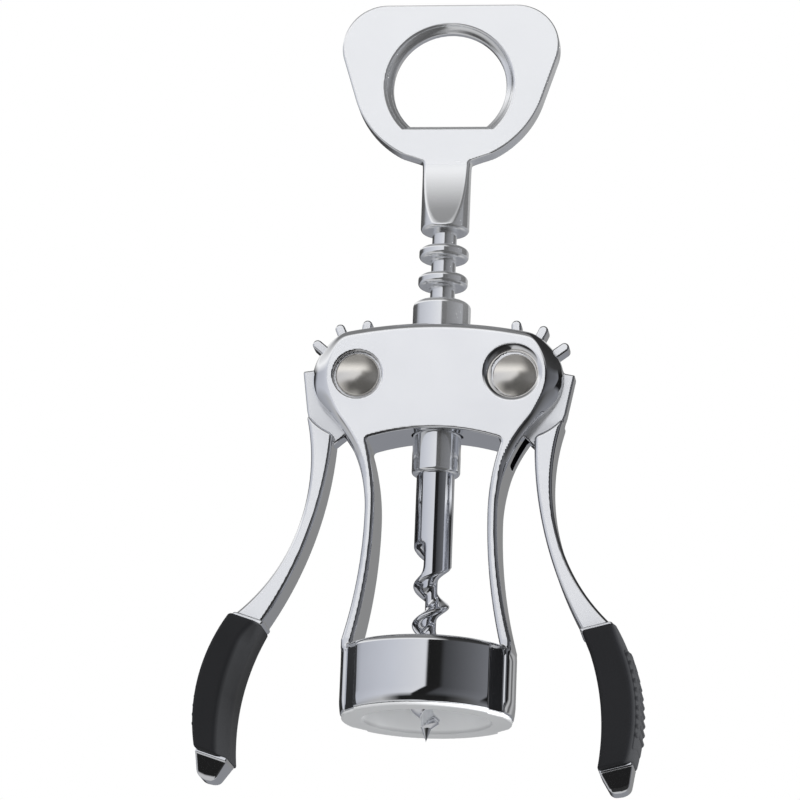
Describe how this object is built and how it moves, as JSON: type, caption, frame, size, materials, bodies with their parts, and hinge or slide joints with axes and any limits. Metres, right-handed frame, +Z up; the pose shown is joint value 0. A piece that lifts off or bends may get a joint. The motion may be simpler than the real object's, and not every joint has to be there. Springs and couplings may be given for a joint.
{
  "type": "lever corkscrew",
  "caption": "Lever corkscrew with two geared wing levers, a sliding rack stem with a worm, a bell for the bottle neck and a crown cap opener for a handle.",
  "frame": {"origin": "centre of the bell's mouth, on the plane of its rim, which is the worm's axis", "axes": "+Z up along the worm's axis to the opener key; +X towards the right lever; -Y towards the front, where the hollow rivets are put in"},
  "size_m": [0.1077, 0.042, 0.1987],
  "materials": {
    "chrome_body": "bright chrome plate on a zinc casting, softly polished on the flat faces",
    "chrome_bright": "bright chrome plate on turned and cast steel",
    "rivet_nickel": "satin nickel, spun dome",
    "liner_plastic": "pale grey moulded plastic",
    "grip_rubber": "matt charcoal rubber with moulded nubs"
  },
  "bodies": {
    "body": {"frame": "chrome_body", "neck_liner": "liner_plastic", "pivot_pin_left": "rivet_nickel", "pivot_pin_right": "rivet_nickel", "pivot_cap_left": "rivet_nickel", "pivot_cap_right": "rivet_nickel"},
    "collar": {"guide_collar": "chrome_bright"},
    "stem": {"rack_stem": "chrome_bright", "opener_key": "chrome_body", "worm": "chrome_bright", "worm_pin": "rivet_nickel"},
    "left_lever": {"lever_left": "chrome_body", "grip_left": "grip_rubber"},
    "right_lever": {"lever_right": "chrome_body", "grip_right": "grip_rubber"}
  },
  "joints": [
    {"name": "key_turn", "type": "hinge", "parent": "body", "child": "collar", "pos_m": [0, 0, 0.1], "axis": [0, 0, 1], "continuous": true},
    {"name": "stem_drop", "type": "slide", "parent": "collar", "child": "stem", "axis": [0, 0, -1], "range_m": [0, 0.035]},
    {"name": "left_lever_swing", "type": "hinge", "parent": "body", "child": "left_lever", "pos_m": [-0.01913, 0, 0.08385], "axis": [0, 1, 0], "range_deg": [0, 137.6]},
    {"name": "right_lever_swing", "type": "hinge", "parent": "body", "child": "right_lever", "pos_m": [0.01913, 0, 0.08385], "axis": [0, -1, 0], "range_deg": [0, 137.6]}
  ],
  "couplings": [
    {"joint": "left_lever_swing", "follows": "stem_drop", "rad_per_m": 68.556},
    {"joint": "right_lever_swing", "follows": "stem_drop", "rad_per_m": 68.556}
  ]
}
